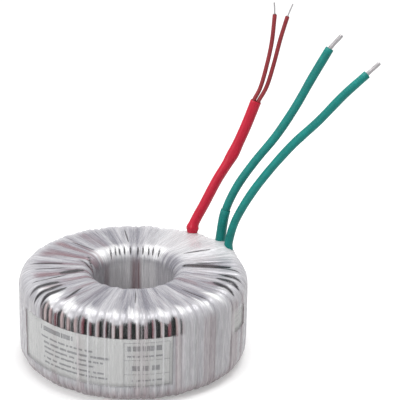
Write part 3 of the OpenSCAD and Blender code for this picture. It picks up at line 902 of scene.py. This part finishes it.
# The pale stops are partly painted highlight
enamel = wire_finish.node("ShaderNodeValToRGB", {"stops": [
    (0.0, shade("541528")), (0.2, shade("7a3040")), (0.6, shade("a88a8c")), (1.0, shade("c4b8b8"))]},
    {"Fac": wire_finish.painted("tone")})
mottle = wire_finish.noise(wire_finish.place(), 180)
wire_finish.set(base_color=wire_finish.mix(mottle * 0.35, enamel, shade("7d4d4c")),
                roughness=mottle * 0.2 + 0.22)
wire_finish.on(secondary_coil)

# %% [markdown]
# ## Film
# The film is a thin glossy sheet. It could be glass, but stacked thin sheets scatter more than they
# bend light, so here each point is a share of pale glossy surface and a share of clear view. The
# share is the painted cloudiness with fine streaks along the winding's direction.

# %% Film finish
film_finish = Finish("clear_film", metallic=0.1, roughness=0.26, specular_ior_level=0.5)
place = film_finish.place("UV")
fine_streak = film_finish.noise(film_finish.stretched(place, (2.2, 0.05, 1)), 3, 3)
broad_streak = film_finish.noise(film_finish.stretched(place, (0.5, 0.035, 1)), 2, 2)
crinkle = film_finish.noise(film_finish.stretched(place, (1.3, 0.4, 1)), 1.6, 4, 0.6)
pale = film_finish.mix(broad_streak, shade("b9b8bd"), shade("dcdbdf"))
# Painted shade of panels and valleys
pale = film_finish.mix(film_finish.painted("dusk") * 0.85, pale, shade("6c6b77"))
pale = film_finish.mix(film_finish.painted("rosy") * 0.85, pale, shade("8e6266"))
# Painted highlights
pale = film_finish.mix(film_finish.painted("whiteness"), pale, shade("fbfbfc"))
# Near-black painted shade in the slits
pale = film_finish.mix(film_finish.painted("slit"), pale, shade("26262b"))
film_finish.set(base_color=pale, roughness=fine_streak * 0.25 + 0.14,
                alpha=film_finish.painted("cloudy") + (fine_streak - 0.5) * 0.25)
film_finish.bump(fine_streak * 0.5 + crinkle * 0.5, 0.3 * MM)
film_finish.on(film_skin)

# %% [markdown]
# ## Paper and print
# The labels are plain paper with grey print. The print here is generic: bars that stand for lines
# of text, and a ruled box at the label's right. Noise that runs along a row cuts it into plain
# blocks of different lengths.

# %% Paper finish
def printed(name, rows, rules, bars_to, ink):
    """Paper with broken bars (height, thickness, left, right) and rules (left, right, low, high)."""
    paper = Finish(name, roughness=0.55)
    place = paper.place("UV")
    u, v, _ = paper.parts(place)
    fibre = paper.noise(place, 1.5, 3)
    ground = paper.mix(fibre, shade("bfc0be"), shade("d6d7d4"))
    marks = 0
    for height, thick, left, right in rows:
        inside = (v > height) * (v < height + thick) * (u > left) * (u < right)
        along_row = paper.node("ShaderNodeCombineXYZ", inputs={0: u * 0.5 + height * 7.3})
        marks = marks + inside * (paper.noise(along_row, 1, 1) > 0.43)
    for left, right, low, high in rules:
        marks = marks + (u > left) * (u < right) * (v > low) * (v < high)
    paper.set(base_color=paper.mix(paper.math("MINIMUM", marks * bars_to, bars_to), ground, ink))
    paper.bump(fibre, 0.03 * MM)
    return paper


BOX_LEFT, BOX_RIGHT, RULE = 59.5, 80.5, 0.3
text_rows = [(20.2, 2.4, 15, 35), (16.6, 1.0, 15, 45), (13.8, 1.2, 17, 53), (11.4, 1.0, 17, 50),
             (9.0, 1.0, 17, 46), (6.2, 1.0, 17, 51), (3.8, 1.0, 17, 52), (19.0, 2.6, 61, 77),
             (15.9, 0.9, 61, 78), (9.0, 2.6, 63, 76), (3.6, 0.9, 63, 77)]
frame_rules = [(BOX_LEFT, BOX_RIGHT, 23, 23 + RULE), (BOX_LEFT, BOX_RIGHT, 14.2, 14.2 + RULE),
               (BOX_LEFT, BOX_RIGHT, 7, 7 + RULE), (BOX_LEFT, BOX_RIGHT, 1, 1 + RULE),
               (BOX_LEFT, BOX_LEFT + RULE, 1, 23), (BOX_RIGHT, BOX_RIGHT + RULE, 1, 23)]
printed("rating_paper", text_rows, frame_rules, 0.75, shade("4a4c50")).on(rating_paper)
printed("test_paper", [(8, 0.9, 2, 12), (5.6, 0.9, 2, 9)], [], 0.4, shade("8a8c90")).on(test_paper)

# %% [markdown]
# ## Sleeves, insulation and tinned copper
# The red sleeve is smooth heat-shrunk plastic. The green ones are varnished fibre, so they have a
# soft mottle and a faint braid. Solder on the ends is dull in its hollows.

# %% Lead finishes
def soft_plastic(name, dark, light, roughness, grain_size, coat=0.0):
    """Plastic whose colour drifts between two tones, with a fine matching bump."""
    plastic = Finish(name, specular_ior_level=0.3, coat_weight=coat, coat_roughness=0.2)
    drift = plastic.noise(plastic.place(), grain_size, 3)
    fine = plastic.noise(plastic.place(), grain_size * 5, 2)
    plastic.set(base_color=plastic.mix(drift, dark, light), roughness=fine * 0.15 + roughness)
    plastic.bump(fine, 0.06 * MM)
    return plastic


soft_plastic("red_sleeve", shade("ac0826"), shade("d01a3c"), 0.35, 160, 0.1).on(primary_sleeve)
soft_plastic("dark_red_insulation", shade("7e2229"), shade("9b383d"), 0.4, 200).on(*thin_leads)

braid = Finish("green_sleeve", specular_ior_level=0.3)
place = braid.place("UV")
u, v, _ = braid.parts(place)
weave = braid.sine(u * 2 * math.pi * 12 + v * 2.4) * braid.sine(u * 2 * math.pi * 12 - v * 2.4)
drift = braid.noise(braid.place(), 240, 3)
braid.set(base_color=braid.mix(drift, shade("00605c"), shade("0a8c84")),
          roughness=drift * 0.2 + 0.35)
braid.bump(weave * 0.5 + drift * 0.5, 0.09 * MM)
braid.on(*green_sleeves, short_sleeve)

solder = Finish("tinned_copper", metallic=0.6)
lumps = solder.noise(solder.place(), 900, 2)
solder.set(base_color=solder.mix(lumps, shade("8c8a8c"), shade("b8b4b6")),
           roughness=lumps * 0.3 + 0.3)
solder.bump(lumps, 0.1 * MM)
solder.on(*thin_tips, *thick_tips)

# %% [markdown]
# ## Floor and light
# A pale floor, one large softbox overhead and one at the left front give the film its long white
# glints. The floor and the sky look white to the camera and in reflections, but the light that they
# give to the object stays at a plain level.

# %% Stage
def seen_directly(finish):
    """1 for camera, glossy and transmission rays, and 0 for the others."""
    rays = finish.node("ShaderNodeLightPath").socket.node.outputs
    camera_ray, glossy, through = (Value(finish, rays[name]) for name in
                                   ("Is Camera Ray", "Is Glossy Ray", "Is Transmission Ray"))
    return finish.math("MINIMUM", camera_ray + glossy + through, 1)


FLOOR_HALF = 3.0
floor_corners = np.array([(-1, -1, 0), (1, -1, 0), (1, 1, 0), (-1, 1, 0)]) * FLOOR_HALF
floor = new_piece("floor", floor_corners, np.array([[0, 1, 2, 3]]), floor_corners[:, :2], outward=1)
floor_finish = Finish("floor", base_color=shade("e4e4e4"), roughness=0.9,
                      emission_color=(1, 1, 1, 1))
floor_finish.set(emission_strength=seen_directly(floor_finish) * 0.3)
floor_finish.on(floor)

world = bpy.data.worlds.new("sky")
world.use_nodes = True
bpy.context.scene.world = world


class Sky(Finish):
    """The world's own node tree, worked in the same way as a finish."""

    def __init__(self, tree):
        self.tree, self.shader = tree, tree.nodes["Background"]


sky = Sky(world.node_tree)
SKY_LIGHT = 0.42
sky.set(color=(1, 1, 1, 1), strength=seen_directly(sky) * (1 - SKY_LIGHT) + SKY_LIGHT)


def softbox(name, place, size, power):
    """A square area lamp that faces the ring."""
    lamp = bpy.data.lights.new(name, "AREA")
    lamp.size, lamp.energy = size, power
    box = bpy.data.objects.new(name, lamp)
    box.location = place
    box.rotation_euler = (ring_middle - Vector(place)).to_track_quat("-Z", "Y").to_euler()
    bpy.context.collection.objects.link(box)


softbox("overhead", (0.1, 0.1, 1.0), 0.7, 9)
softbox("left_front", (-0.8, -0.7, 0.7), 0.5, 6)
bpy.context.scene.view_settings.view_transform = "Standard"
